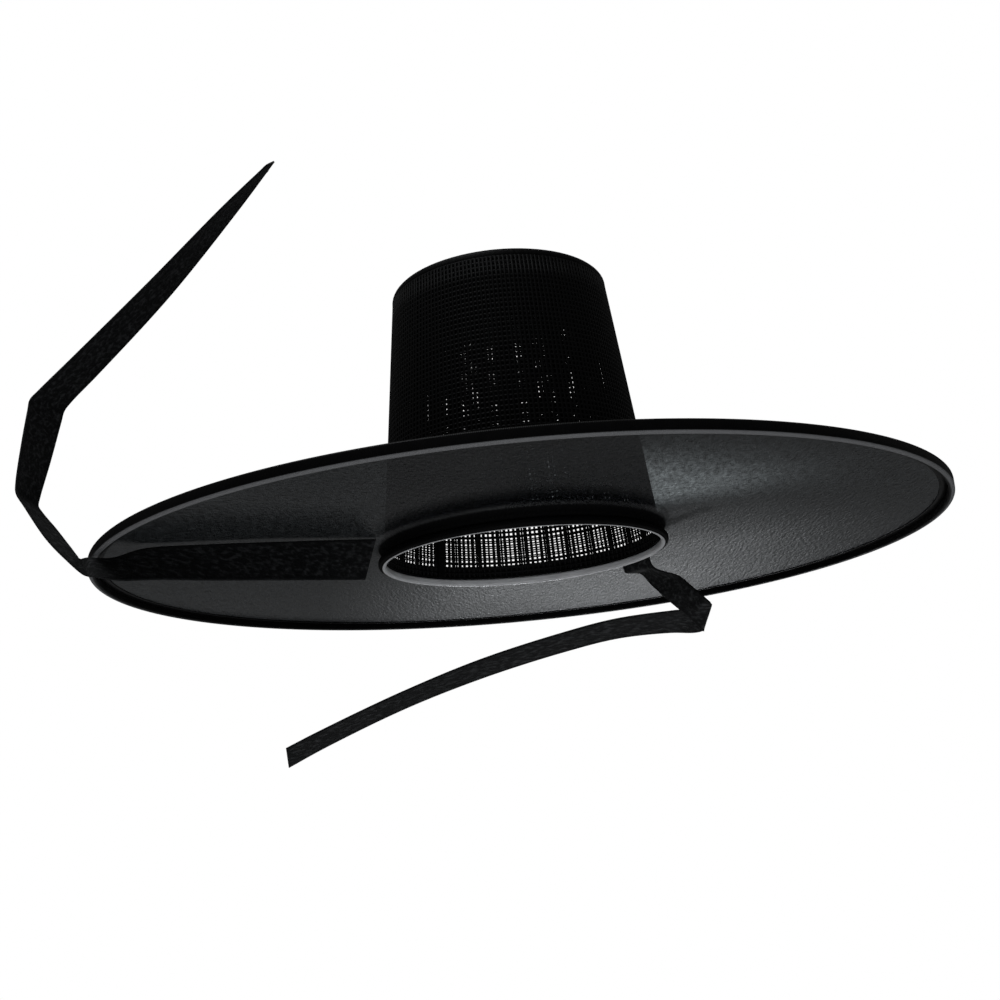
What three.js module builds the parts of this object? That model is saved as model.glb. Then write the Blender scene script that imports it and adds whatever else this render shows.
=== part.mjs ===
// A Korean gat: a tapered horsehair crown on a wide drooping brim, with two ribbon ties.
// Millimetres. +Z is the crown's axis, upwards, and the origin is the middle of the head opening,
// level with the lowest line of the head ring. The wearer's near side is -Y.

import * as THREE from 'three';

// Head ring
const ringRadius = 88;
const ringWidth = 4.7;
const ringHeight = 4;
const ringRound = 1.5;

// Crown
const crownTopRadius = 67.5;
const crownHeight = 171.5;
const crownShoulder = 4;
const crownWall = 1.2;
const seamWidth = 5;
const seamThickness = 1;
const seamTurn = 132;

// Brim and its binding
const brimRadius = 250;
const brimThickness = 1.2;
const brimRise = 13;
const brimEdgeHeight = 2.8;
const brimBow = 0.8;
const collarFillet = 6;
const rimWidth = 3.6;
const rimHeight = 6.5;
const rimDrop = 2;
const rimRound = 1.2;

// Ties
const ribbonWidth = 26;
const ribbonThickness = 1;

// Clearance that pieces keep from each other
const gap = 0.3;

// Facets round the axis and along the curves
const roundSegments = 80;
const filletSteps = 5;
const roundSteps = 2;
const bowSteps = 6;
const ribbonSteps = 3;

// The left tie under the brim: how far along from collar to rim, what it hangs below, how far it
// sags from there in ribbon thicknesses, and in degrees how far its width leans from straight down
// towards the near side and how far the line across it is cut slanting outwards. Its two ends are
// turned round the axis by these angles.
const leftTieTurn = { collar: 203, rim: 209 };
const leftTieHung = [
  { out: 0.0, below: 'brim', sag: 0, lean: 2, cut: 20 },
  { out: 0.2, below: 'brim', sag: 0.4, lean: 16, cut: 14 },
  { out: 0.42, below: 'brim', sag: 0.6, lean: 25, cut: 8 },
  { out: 0.64, below: 'brim', sag: 0.7, lean: 32, cut: 3 },
  { out: 0.84, below: 'brim', sag: 1.4, lean: 41, cut: 0 },
  { out: 0.945, below: 'rim', sag: 0.2, lean: 53, cut: 0 },
  { out: 1.015, below: 'rim', sag: 0.3, lean: 56, cut: 0 },
];

// The left tie past the rim: the middle of each line across it in brim radii, and the way from
// its upper to its lower edge in ribbon widths.
const leftTieFree = [
  { name: 'past the rim', at: [-0.908, -0.464, -0.021], across: [0.39, -0.75, -0.54] },
  { name: 'turned up', at: [-0.94, -0.448, 0.012], across: [0.26, -0.85, -0.47] },
  { name: 'edge on', at: [-0.984, -0.424, 0.063], across: [0.15, -0.9, -0.4] },
  { name: 'before low fold', at: [-1.032, -0.396, 0.127], across: [0.06, -0.99, -0.13] },
  { name: 'low fold', at: [-1.05, -0.384, 0.155], across: [-0.03, -1, 0.03] },
  { name: 'after low fold', at: [-1.05, -0.38, 0.175], across: [-0.07, -1, 0.05] },
  { name: 'between folds', at: [-1.036, -0.368, 0.26], across: [-0.21, -0.98, 0.04] },
  { name: 'before high fold', at: [-1.022, -0.352, 0.35], across: [-0.32, -0.95, -0.01] },
  { name: 'high fold', at: [-1.017, -0.348, 0.376], across: [-0.35, -0.94, -0.03] },
  { name: 'after high fold', at: [-1.001, -0.344, 0.397], across: [-0.31, -0.95, -0.04] },
  { name: 'tail begins', at: [-0.931, -0.34, 0.465], across: [-0.16, -0.99, 0.04] },
  { name: 'tail, first third', at: [-0.763, -0.336, 0.63], across: [-0.14, -0.99, -0.09] },
  { name: 'tail, second third', at: [-0.594, -0.336, 0.809], across: [-0.08, -0.93, -0.35] },
  { name: 'tail end', at: [-0.494, -0.336, 0.915], across: [0, -0.83, -0.55] },
];

// The right tie at the ring: its end is sewn flat on the collar and drops outside the ring.
// Heights are in ring heights, and the stand-off beyond the clearance is in ribbon thicknesses.
const rightTieTurn = 36;
const rightTieSewn = [
  { rise: 1.9, outside: 'collar', off: 0 },
  { rise: 1.4, outside: 'collar', off: 0.5 },
  { rise: 0.9, outside: 'ring', off: 0.1 },
  { rise: -0.3, outside: 'ring', off: 0.6 },
  { rise: -0.9, outside: 'ring', off: 1.6 },
];

// The right tie below the ring, measured as the left one is.
const rightTieFree = [
  { name: 'first stretch', at: [0.316, 0.208, -0.025], across: [0.31, -0.94, -0.1] },
  { name: 'widest', at: [0.356, 0.192, -0.057], across: [0.6, -0.8, 0.02] },
  { name: 'below widest', at: [0.383, 0.164, -0.095], across: [0.61, -0.79, 0.05] },
  { name: 'before fold', at: [0.426, 0.14, -0.148], across: [0.32, -0.9, 0.29] },
  { name: 'front of fold', at: [0.444, 0.154, -0.166], across: [0.18, -0.84, 0.52] },
  { name: 'back of fold', at: [0.447, 0.192, -0.164], across: [0.13, -0.84, 0.52] },
  { name: 'after fold', at: [0.421, 0.232, -0.162], across: [0.03, -0.88, 0.47] },
  { name: 'tail begins', at: [0.365, 0.256, -0.156], across: [-0.01, -0.91, 0.41] },
  { name: 'level stretch', at: [0.224, 0.28, -0.157], across: [-0.09, -0.93, 0.36] },
  { name: 'starts down', at: [0.081, 0.3, -0.177], across: [-0.1, -0.93, 0.34] },
  { name: 'middle', at: [-0.138, 0.332, -0.221], across: [-0.1, -0.94, 0.33] },
  { name: 'hump', at: [-0.359, 0.368, -0.282], across: [-0.08, -0.95, 0.29] },
  { name: 'last stretch', at: [-0.585, 0.408, -0.36], across: [0, -0.94, 0.34] },
  { name: 'tail end', at: [-0.69, 0.428, -0.401], across: [0.14, -0.89, 0.44] },
];

// Finishes
const finish = (name, color, roughness) =>
  new THREE.MeshStandardMaterial({ name, color, roughness, metalness: 0 });
const horsehair = finish('horsehair', 0x0b0b0b, 0.6);
const wovenBrim = finish('woven_brim', 0x24272b, 0.45);
const lacquer = finish('black_lacquer', 0x050505, 0.4);
const paleHoop = finish('pale_hoop', 0x8c8c8c, 0.35);
const crepe = finish('crepe_ribbon', 0x0a0a0a, 0.8);

// Heights and radii that several pieces share
const crownBaseRadius = ringRadius - ringWidth + crownWall;
const wallFoot = ringHeight + gap;
const wallHead = crownHeight - crownShoulder - crownWall;
const collarInner = crownBaseRadius + gap;
const filletCentre = {
  r: collarInner + brimThickness + collarFillet,
  z: brimRise - collarFillet,
};
const brimOuter = brimRadius - rimWidth - gap;
const rimLow = -rimDrop;

function radians(degrees) {
  return (degrees * Math.PI) / 180;
}

function wallRadius(z) {
  const share = (z - wallFoot) / (wallHead - wallFoot);
  return crownBaseRadius + share * (crownTopRadius - crownBaseRadius);
}

function brimUnderside(r) {
  const share = (r - filletCentre.r) / (brimOuter - filletCentre.r);
  const bow = 4 * brimBow * share * (1 - share);
  return brimRise + share * (brimEdgeHeight - brimRise) + bow;
}

// Points of an arc in the profile plane, from one angle to another
function arc(r, z, radius, from, to, steps) {
  const points = [];
  for (let i = 0; i <= steps; i += 1) {
    const angle = radians(from + ((to - from) * i) / steps);
    points.push([r + radius * Math.cos(angle), z + radius * Math.sin(angle)]);
  }
  return points;
}

// Turns the triangles of a closed geometry so that its faces look outwards
function facingOut(geometry) {
  const index = geometry.getIndex();
  const at = geometry.getAttribute('position');
  const [a, b, c] = [new THREE.Vector3(), new THREE.Vector3(), new THREE.Vector3()];
  let volume = 0;
  for (let i = 0; i < index.count; i += 3) {
    a.fromBufferAttribute(at, index.getX(i));
    b.fromBufferAttribute(at, index.getX(i + 1));
    c.fromBufferAttribute(at, index.getX(i + 2));
    volume += a.dot(b.cross(c));
  }
  if (volume < 0) {
    for (let i = 0; i < index.count; i += 3) {
      const second = index.getX(i + 1);
      index.setX(i + 1, index.getX(i + 2));
      index.setX(i + 2, second);
    }
  }
  geometry.computeVertexNormals();
  return geometry;
}

// A ring-shaped or capped solid: the closed profile of [radius, height] points turned about Z
function turned(profile) {
  const points = profile.map(([r, z]) => new THREE.Vector2(r, z));
  if (profile[0][0] > 0) {
    points.push(points[0].clone());
  }
  const lathe = new THREE.LatheGeometry(points, roundSegments);
  lathe.rotateX(Math.PI / 2);
  return facingOut(lathe);
}

// A thin strip between two edges: each line across it is a pair of points
function strip(lines, thickness) {
  const middles = lines.map(([a, b]) => a.clone().add(b).multiplyScalar(0.5));
  const corners = [];
  lines.forEach(([a, b], i) => {
    const before = middles[Math.max(i - 1, 0)];
    const after = middles[Math.min(i + 1, lines.length - 1)];
    const along = after.clone().sub(before);
    const across = b.clone().sub(a);
    const half = along.cross(across).setLength(thickness / 2);
    corners.push(a.clone().add(half), b.clone().add(half));
    corners.push(b.clone().sub(half), a.clone().sub(half));
  });
  const triangles = [];
  const quad = (p, q, r, s) => triangles.push(p, q, r, p, r, s);
  for (let i = 0; i + 1 < lines.length; i += 1) {
    for (let side = 0; side < 4; side += 1) {
      const next = (side + 1) % 4;
      quad(4 * i + side, 4 * i + next, 4 * (i + 1) + next, 4 * (i + 1) + side);
    }
  }
  const last = 4 * (lines.length - 1);
  quad(3, 2, 1, 0);
  quad(last, last + 1, last + 2, last + 3);
  const geometry = new THREE.BufferGeometry().setFromPoints(corners);
  geometry.setIndex(triangles);
  return facingOut(geometry);
}

// Fills in lines between the given ones, so that both edges run in smooth curves
function smoothed(lines, steps) {
  const edge = (side) =>
    new THREE.CatmullRomCurve3(lines.map((line) => line[side]), false, 'centripetal');
  const [first, second] = [edge(0), edge(1)];
  const count = (lines.length - 1) * steps;
  const filled = [];
  for (let i = 0; i <= count; i += 1) {
    filled.push([first.getPoint(i / count), second.getPoint(i / count)]);
  }
  return filled;
}

// A point on a circle about the axis, at an angle in degrees
function onCircle(turn, radius) {
  return new THREE.Vector3(radius, 0, 0).applyAxisAngle(new THREE.Vector3(0, 0, 1), radians(turn));
}

function freeLine({ at, across }) {
  const middle = new THREE.Vector3(...at).multiplyScalar(brimRadius);
  const half = new THREE.Vector3(...across).setLength(ribbonWidth / 2);
  return [middle.clone().sub(half), middle.clone().add(half)];
}

// A band of rounded section, between two radii and two heights
function band(inner, outer, low, high, round) {
  return turned([
    ...arc(outer - round, low + round, round, -90, 0, roundSteps),
    ...arc(outer - round, high - round, round, 0, 90, roundSteps),
    ...arc(inner + round, high - round, round, 90, 180, roundSteps),
    ...arc(inner + round, low + round, round, 180, 270, roundSteps),
  ]);
}

function headRing() {
  return band(ringRadius - ringWidth, ringRadius, 0, ringHeight, ringRound);
}

function crownSide() {
  return turned([
    [crownBaseRadius, wallFoot],
    [crownTopRadius, wallHead],
    [crownTopRadius - crownWall, wallHead],
    [crownBaseRadius - crownWall, wallFoot],
  ]);
}

function crownLid() {
  const r = crownTopRadius - crownShoulder;
  const z = crownHeight - crownShoulder;
  const foot = wallHead + gap;
  return turned([
    [0, crownHeight],
    ...arc(r, z, crownShoulder, 90, 0, filletSteps),
    [crownTopRadius, foot],
    [crownTopRadius - crownWall, foot],
    ...arc(r, z, crownShoulder - crownWall, 0, 90, filletSteps),
    [0, crownHeight - crownWall],
  ]);
}

function crownSeam() {
  const half = onCircle(seamTurn + 90, seamWidth / 2);
  const inset = crownWall + gap + seamThickness / 2;
  const lines = [wallFoot + gap, wallHead - gap].map((z) => {
    const middle = onCircle(seamTurn, wallRadius(z) - inset).setZ(z);
    return [middle.clone().sub(half), middle.clone().add(half)];
  });
  return strip(lines, seamThickness);
}

function brimDisc() {
  const under = [];
  for (let i = 1; i <= bowSteps; i += 1) {
    const r = filletCentre.r + ((brimOuter - filletCentre.r) * i) / bowSteps;
    under.push([r, brimUnderside(r)]);
  }
  const over = under.map(([r, z]) => [r, z + brimThickness]).reverse();
  const { r, z } = filletCentre;
  return turned([
    [collarInner + brimThickness, wallFoot],
    ...arc(r, z, collarFillet, 180, 90, filletSteps),
    ...under,
    ...over,
    ...arc(r, z, collarFillet + brimThickness, 90, 180, filletSteps),
    [collarInner, wallFoot],
  ]);
}

function brimBinding() {
  return band(brimRadius - rimWidth, brimRadius, rimLow, rimLow + rimHeight, rimRound);
}

function leftTie() {
  const clear = gap + ribbonThickness / 2;
  const start = onCircle(leftTieTurn.collar, filletCentre.r);
  const way = onCircle(leftTieTurn.rim, brimRadius).sub(start);
  const outwards = way.clone().normalize();
  const near = new THREE.Vector3(-outwards.y, outwards.x, 0);
  const hung = leftTieHung.map((row) => {
    const upper = start.clone().addScaledVector(way, row.out);
    const roof = row.below === 'rim' ? rimLow : brimUnderside(upper.length());
    upper.setZ(roof - clear - row.sag * ribbonThickness);
    const lean = radians(row.lean);
    const cut = radians(row.cut);
    const width = near.clone().multiplyScalar(Math.sin(lean) * Math.cos(cut));
    width.addScaledVector(outwards, Math.sin(cut));
    width.z = -Math.cos(lean) * Math.cos(cut);
    return [upper, upper.clone().addScaledVector(width, ribbonWidth)];
  });
  return strip(smoothed([...hung, ...leftTieFree.map(freeLine)], ribbonSteps), ribbonThickness);
}

function rightTie() {
  const half = onCircle(rightTieTurn - 90, ribbonWidth / 2);
  const clear = gap + ribbonThickness / 2;
  const sewn = rightTieSewn.map(({ rise, outside, off }) => {
    const face = outside === 'ring' ? ringRadius : collarInner + brimThickness;
    const r = face + clear + off * ribbonThickness;
    const middle = onCircle(rightTieTurn, r).setZ(rise * ringHeight);
    return [middle.clone().sub(half), middle.clone().add(half)];
  });
  return strip(smoothed([...sewn, ...rightTieFree.map(freeLine)], ribbonSteps), ribbonThickness);
}

function piece(name, geometry, material) {
  const mesh = new THREE.Mesh(geometry, material);
  mesh.name = name;
  return mesh;
}

const gat = new THREE.Group();
gat.add(
  piece('crown_wall', crownSide(), horsehair),
  piece('crown_top', crownLid(), horsehair),
  piece('crown_seam', crownSeam(), horsehair),
  piece('head_ring', headRing(), paleHoop),
  piece('brim', brimDisc(), wovenBrim),
  piece('brim_rim', brimBinding(), lacquer),
  piece('ribbon_left', leftTie(), crepe),
  piece('ribbon_right', rightTie(), crepe),
);

export default gat;
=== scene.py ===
"""Dresses a Korean gat: an open horsehair crown on a wide woven brim, with two crepe ties.

Metres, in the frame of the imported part: +Z is the crown's axis, the origin is the middle of the
head opening at the lowest line of the head ring, and the near side is -Y.
"""
from __future__ import annotations

import logging
import math
from dataclasses import dataclass
from enum import Enum
from functools import partial, reduce
from typing import Callable, Sequence

import bpy
import numpy as np
from mathutils import Matrix, Vector


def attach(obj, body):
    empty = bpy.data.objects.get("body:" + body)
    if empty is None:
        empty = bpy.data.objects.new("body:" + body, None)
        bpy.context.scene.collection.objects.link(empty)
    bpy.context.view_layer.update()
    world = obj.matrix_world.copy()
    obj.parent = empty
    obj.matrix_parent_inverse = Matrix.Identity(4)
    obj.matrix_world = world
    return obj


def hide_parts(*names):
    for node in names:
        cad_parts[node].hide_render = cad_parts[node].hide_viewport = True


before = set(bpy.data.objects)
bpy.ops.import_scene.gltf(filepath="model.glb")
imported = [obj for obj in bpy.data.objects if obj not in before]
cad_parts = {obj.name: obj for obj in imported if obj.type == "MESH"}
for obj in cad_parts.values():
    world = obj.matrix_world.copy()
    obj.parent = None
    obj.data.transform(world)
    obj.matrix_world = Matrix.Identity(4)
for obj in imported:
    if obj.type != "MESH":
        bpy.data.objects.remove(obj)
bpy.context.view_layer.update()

MM = 0.001
BODY = "root"
HEM = "hem"
ROUND_STEPS = 6
CORNERS = ((-1, 1), (1, 1), (1, -1), (-1, -1))

log = logging.getLogger("gat")

Array = np.ndarray
Span = tuple[float, float]
Profile = list[Span]
Point = tuple[float, float, float]
Rgb = Point
Piece = bpy.types.Object
Material = bpy.types.Material
Socket = bpy.types.NodeSocket


# Meshes


def new_object(name: str, points: Array, faces: Array) -> Piece:
    """Makes a smooth-shaded mesh object.

    Args:
        name: the piece's name.
        points: vertices in metres, one row each.
        faces: quads as rows of vertex numbers.

    Returns:
        The new object, linked into the scene.
    """
    mesh = bpy.data.meshes.new(name)
    mesh.from_pydata(points.tolist(), [], faces.tolist())
    mesh.validate()
    mesh.update()
    mesh.polygons.foreach_set("use_smooth", np.ones(len(mesh.polygons), dtype=bool))
    piece = bpy.data.objects.new(name, mesh)
    bpy.context.scene.collection.objects.link(piece)
    return piece


def grid_faces(rows: int, columns: int, wrap_rows: bool, wrap_columns: bool) -> Array:
    """Lists the quads of a grid of vertices.

    Args:
        rows: how many rows of vertices there are.
        columns: how many vertices a row has.
        wrap_rows: whether the last row joins the first.
        wrap_columns: whether each row closes on itself.

    Returns:
        One row of four vertex numbers for each quad.
    """
    i = np.arange(rows if wrap_rows else rows - 1)
    j = np.arange(columns if wrap_columns else columns - 1)
    i, j = (a.ravel() for a in np.meshgrid(i, j, indexing="ij"))
    i2, j2 = (i + 1) % rows, (j + 1) % columns
    corners = (i * columns + j, i * columns + j2, i2 * columns + j2, i2 * columns + j)
    return np.stack(corners, axis=1)


def angles(segments: int) -> Array:
    """The angles of this many equal steps round the axis, in radians."""
    return np.arange(segments) * (2 * math.pi / segments)


def about_axis(radius: Array, turn: Array, height: Array) -> Array:
    """Places points by their radius, angle and height."""
    return np.stack([radius * np.cos(turn), radius * np.sin(turn), height], axis=-1)


def turned(
    name: str,
    profile: Profile,
    segments: int,
    lift: Callable[[Array, Array], Array] | None = None,
) -> Piece:
    """Turns a closed profile about the crown's axis into a ring-shaped solid.

    Args:
        name: the piece's name.
        profile: corners as (radius, height) in metres, anticlockwise with height upwards.
        segments: steps round the axis.
        lift: gives the height to add at each radius and angle, or None.

    Returns:
        The new object.
    """
    r, z = (np.array(v) for v in zip(*profile))
    radius, turn = np.meshgrid(r, angles(segments))
    height = np.broadcast_to(z, radius.shape).copy()
    if lift is not None:
        height += lift(radius, turn)
    faces = grid_faces(segments, len(r), True, True)
    return new_object(name, about_axis(radius, turn, height).reshape(-1, 3), faces)


def arc(r: float, z: float, radius: float, start: float, end: float, steps: int) -> Profile:
    """Lists points of an arc about (r, z) in the profile plane, with its angles in degrees."""
    turns = np.radians(np.linspace(start, end, steps + 1))
    return [(r + radius * math.cos(a), z + radius * math.sin(a)) for a in turns]


def rounded_band(inner: float, outer: float, low: float, high: float, round_: float) -> Profile:
    """Gives the profile of a band of rounded section.

    Args:
        inner: its inner radius.
        outer: its outer radius.
        low: its lowest height.
        high: its highest height.
        round_: radius of its four edges.

    Returns:
        The closed profile, anticlockwise from its lower outer edge.
    """
    edges = (
        (outer - round_, low + round_, -90),
        (outer - round_, high - round_, 0),
        (inner + round_, high - round_, 90),
        (inner + round_, low + round_, 180),
    )
    return [p for r, z, start in edges for p in arc(r, z, round_, start, start + 90, ROUND_STEPS)]


def smoothstep(low: float, high: float, value: Array) -> Array:
    """Rises smoothly from 0 at low to 1 at high."""
    share = np.clip((value - low) / (high - low), 0, 1)
    return share * share * (3 - 2 * share)


# Finishes


class Graph:
    """A material's node tree, or the world's, with short calls for the nodes that they use."""

    def __init__(self, block: Material | bpy.types.World, coordinates: str = "Object") -> None:
        """Empties the block's tree and reads its texture coordinates of this kind."""
        self.block = block
        block.use_nodes = True
        self.tree = block.node_tree
        self.tree.nodes.clear()
        self.place = self.node("ShaderNodeTexCoord").outputs[coordinates]
        self.x, self.y, self.z = self.node("ShaderNodeSeparateXYZ", Vector=self.place).outputs

    def node(self, kind: str, **inputs: object) -> bpy.types.Node:
        """Adds a node.

        Args:
            kind: the node's type name.
            inputs: sockets by name, each a value or another node's output; names in lower
                case are the node's own settings.

        Returns:
            The node.
        """
        made = self.tree.nodes.new(kind)
        for key, value in inputs.items():
            if key[0].islower():
                setattr(made, key, value)
        for key, value in inputs.items():
            if not key[0].islower():
                self.put(made.inputs[key.replace("_", " ")], value)
        return made

    def put(self, socket: Socket, value: object) -> None:
        """Links an output to a socket, or sets the socket's own value."""
        if isinstance(value, Socket):
            self.tree.links.new(value, socket)
        else:
            socket.default_value = value

    def fill(self, made: bpy.types.Node, *values: object) -> Socket:
        """Fills a node's inputs.

        Args:
            made: the node.
            values: its inputs in order, values or outputs.

        Returns:
            Its first output.
        """
        for socket, value in zip(made.inputs, values):
            self.put(socket, value)
        return made.outputs[0]

    def maths(self, operation: str, *values: object) -> Socket:
        """Adds a Math node with this operation, such as MULTIPLY, and these inputs."""
        return self.fill(self.node("ShaderNodeMath", operation=operation), *values)

    def line(self, value: object, slope: object, base: object) -> Socket:
        """Multiplies a value by a slope and adds a base."""
        return self.maths("MULTIPLY_ADD", value, slope, base)

    def times(self, *values: object) -> Socket:
        """Multiplies its inputs."""
        return reduce(partial(self.maths, "MULTIPLY"), values)

    def rise(self, value: object, low: float, high: float) -> Socket:
        """Rises smoothly from 0 to 1 as the input goes from low to high."""
        return self.node("ShaderNodeMapRange", interpolation_type="SMOOTHSTEP", Value=value,
                         From_Min=low, From_Max=high).outputs[0]

    def fall(self, value: object, low: float, high: float) -> Socket:
        """Falls smoothly from 1 to 0 as the input goes from low to high."""
        return self.maths("SUBTRACT", 1, self.rise(value, low, high))

    def radius(self) -> Socket:
        """The distance from the crown's axis."""
        squares = self.maths("ADD", self.times(self.x, self.x), self.times(self.y, self.y))
        return self.maths("SQRT", squares)

    def turn(self) -> Socket:
        """The angle round the crown's axis in radians, from +X towards +Y."""
        return self.maths("ARCTAN2", self.y, self.x)

    def polar_noise(self, around: float, outwards: float, detail: float) -> Socket:
        """Adds noise in cells that widen with the radius, as radial slivers do.

        Args:
            around: noise units in one radian round the axis.
            outwards: noise units in a metre of radius.
            detail: octaves.

        Returns:
            Its value, about 0 to 1.
        """
        x, y = (self.times(self.maths(f, self.turn()), around) for f in ("COSINE", "SINE"))
        place = self.node("ShaderNodeCombineXYZ", X=x, Y=y, Z=self.times(self.radius(), outwards))
        return self.texture(place, 1.0, detail)

    def noise(self, scale: float, detail: float = 2.0, stretch: Rgb = (1, 1, 1)) -> Socket:
        """Adds noise with this many waves a metre and octaves, stretched on the three axes."""
        place = self.node("ShaderNodeMapping", Vector=self.place, Scale=stretch)
        return self.texture(place, scale, detail)

    def texture(self, place: bpy.types.Node, scale: float, detail: float) -> Socket:
        """Adds a noise texture, about 0 to 1, at the place that a node gives."""
        return self.node("ShaderNodeTexNoise", Vector=place.outputs[0], Scale=scale,
                         Detail=detail).outputs[0]

    def colour(self, factor: object, dark: Rgb, light: Rgb) -> Socket:
        """Runs from one colour to another.

        Args:
            factor: 0 for the dark colour, 1 for the light one.
            dark: linear colour.
            light: linear colour.

        Returns:
            The colour.
        """
        ramp = self.node("ShaderNodeValToRGB", Fac=factor)
        for element, rgb in zip(ramp.color_ramp.elements, (dark, light)):
            element.color = (*rgb, 1)
        return ramp.outputs[0]

    def mix(self, factor: object, first: Socket, second: Rgb) -> Socket:
        """Mixes a plain colour into another one.

        Args:
            factor: 0 for the first colour, 1 for the second.
            first: an output.
            second: linear colour.

        Returns:
            The mixed colour.
        """
        made = self.node("ShaderNodeMix", data_type="RGBA")
        for index, value in ((0, factor), (6, first), (7, (*second, 1))):
            self.put(made.inputs[index], value)
        return made.outputs[2]

    def blend(self, factor: object, first: Socket, second: Socket) -> Socket:
        """Mixes two shaders, all of the first one where the factor is 0."""
        return self.fill(self.node("ShaderNodeMixShader"), factor, first, second)

    def bump(self, height: object, depth: float) -> Socket:
        """Makes a bump of this depth in metres out of a height of 0 to 1."""
        return self.node("ShaderNodeBump", Height=height, Distance=depth).outputs[0]

    def finish(self, shader: Socket) -> Material:
        """Sends the shader to the material's output."""
        self.node("ShaderNodeOutputMaterial", Surface=shader)
        return self.block


@dataclass(frozen=True)
class Gloss:
    """How a surface reflects.

    Where it is uneven, its roughness starts `drop` below the given one and rises by `swing`.
    """

    roughness: float
    shine: float = 0.5
    sheen: float = 0.0
    swing: float = 0.2
    drop: float = 0.1


def surface(graph: Graph, colour: Socket | Rgb, gloss: Gloss, bump: Socket,
            uneven: Socket | None = None) -> Socket:
    """Adds the main shader of a finish.

    Args:
        graph: the material that gets it.
        colour: its base colour.
        gloss: how it reflects.
        bump: its normal.
        uneven: 0 where it is smoothest to 1 where it is roughest, or None for even roughness.

    Returns:
        The shader's output.
    """
    roughness = gloss.roughness
    if uneven is not None:
        roughness = graph.line(uneven, gloss.swing, gloss.roughness - gloss.drop)
    made = graph.node(
        "ShaderNodeBsdfPrincipled", Roughness=roughness, Normal=bump,
        Base_Color=(*colour, 1) if isinstance(colour, tuple) else colour,
        Specular_IOR_Level=gloss.shine, Sheen_Weight=gloss.sheen,
    )
    return made.outputs[0]


@dataclass(frozen=True)
class WovenBrim:
    """Fine lacquered weave of radial slivers and hoops, thin enough to see light through.

    The collar is painted black. One stretch on the near side is a painted pool of light: it lets
    more of the white backdrop through, so it shows brighter there. Past `doubled` there are twice
    as many slivers. The shares weigh what its relief is made of. The painted glow's angles run:
    begins, full, until, ends.
    """

    name: str = "woven_brim"
    dark: Rgb = (0.0025, 0.0028, 0.0035)
    light: Rgb = (0.0075, 0.0084, 0.0102)
    collar: Rgb = (0.0022, 0.0022, 0.0024)
    gloss: Gloss = Gloss(0.36, 0.5)
    matte: Gloss = Gloss(0.7, 0.06)
    relief: float = 0.7 * MM
    slivers: int = 190
    doubled: Span = (0.105, 0.175)
    hoop_pitch: float = 3 * MM
    wander_scale: float = 90.0
    wander_depth: float = 9.0
    pebble_scale: float = 560.0
    pebble_stretch: Rgb = (1, 0.3, 1)
    grain_around: float = 70.0
    grain_outwards: float = 210.0
    pebble_share: float = 0.6
    grain_share: float = 0.3
    weave_share: float = 0.1
    mottle_scale: float = 22.0
    mottle_depth: float = 0.5
    tone_range: Span = (0.2, 0.85)
    rough_range: Span = (0.1, 0.9)
    collar_outer: float = 87.3 * MM
    collar_blur: float = 0.5 * MM
    open_share: float = 0.072
    open_slope: float = 2.6
    open_base: float = -0.3
    # Painted pool of light: a stretch of the near side is made more see-through, so the white
    # backdrop shows brighter there.
    painted_glow_share: float = 0.255
    painted_glow_turn: tuple[float, float, float, float] = (-1.72, -1.5, -0.82, -0.28)
    painted_glow_reach: Span = (0.12, 0.235)
    tint: Rgb = (0.93, 0.98, 1.0)

    def weave(self, g: Graph, radius: Socket) -> Socket:
        """Crosses the slivers with the hoops, with more slivers further out.

        Args:
            g: the material.
            radius: the distance from the axis.

        Returns:
            The weave's height, 0 to 1.
        """
        wander = g.line(g.noise(self.wander_scale), self.wander_depth, -self.wander_depth / 2)
        hoops = g.maths("SINE", g.line(radius, math.pi / self.hoop_pitch, wander))
        inner, outer = (g.times(g.maths("SINE", g.line(g.turn(), count, wander)), hoops)
                        for count in (self.slivers / 2, self.slivers))
        near, far = g.fall(radius, *self.doubled), g.rise(radius, *self.doubled)
        return g.line(g.maths("ADD", g.times(inner, near), g.times(outer, far)), 0.5, 0.5)

    def clear_share(self, g: Graph, radius: Socket, height: Socket) -> Socket:
        """Gives how much of the light passes straight through the weave, more on one near stretch
        as a painted pool of light.

        Args:
            g: the material.
            radius: the distance from the axis.
            height: the relief, 0 to 1, which is more open where it is higher.

        Returns:
            The share, 0 at the collar.
        """
        # Painted pool of light: thin masks the near stretch that is made more see-through.
        begins, full, until, ends = self.painted_glow_turn
        turn = g.turn()
        thin = g.times(g.rise(turn, begins, full), g.fall(turn, until, ends),
                       g.fall(radius, *self.painted_glow_reach))
        return g.times(g.line(thin, self.painted_glow_share, self.open_share),
                       g.line(height, self.open_slope, self.open_base))

    def make(self) -> Material:
        """Builds the material.

        Returns:
            The material.
        """
        g = Graph(bpy.data.materials.new(self.name))
        radius = g.radius()
        pebbles = g.noise(self.pebble_scale, 1, self.pebble_stretch)
        grain = g.polar_noise(self.grain_around, self.grain_outwards, 1)
        height = g.times(self.weave(g, radius), self.weave_share)
        height = g.line(grain, self.grain_share, height)
        height = g.line(pebbles, self.pebble_share, height)
        mottle = g.line(g.noise(self.mottle_scale, 3), self.mottle_depth, -self.mottle_depth / 2)
        tone = g.rise(g.maths("ADD", mottle, height), *self.tone_range)
        bump = g.bump(height, self.relief)
        disc = g.rise(radius, self.collar_outer - self.collar_blur,
                      self.collar_outer + self.collar_blur)
        body = g.blend(disc, surface(g, self.collar, self.matte, bump),
                       surface(g, g.colour(tone, self.dark, self.light), self.gloss, bump,
                               g.rise(height, *self.rough_range)))
        share = g.times(self.clear_share(g, radius, height), disc)
        clear = g.node("ShaderNodeBsdfTransparent", Color=(*self.tint, 1)).outputs[0]
        return g.finish(g.blend(share, body, clear))


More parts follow.
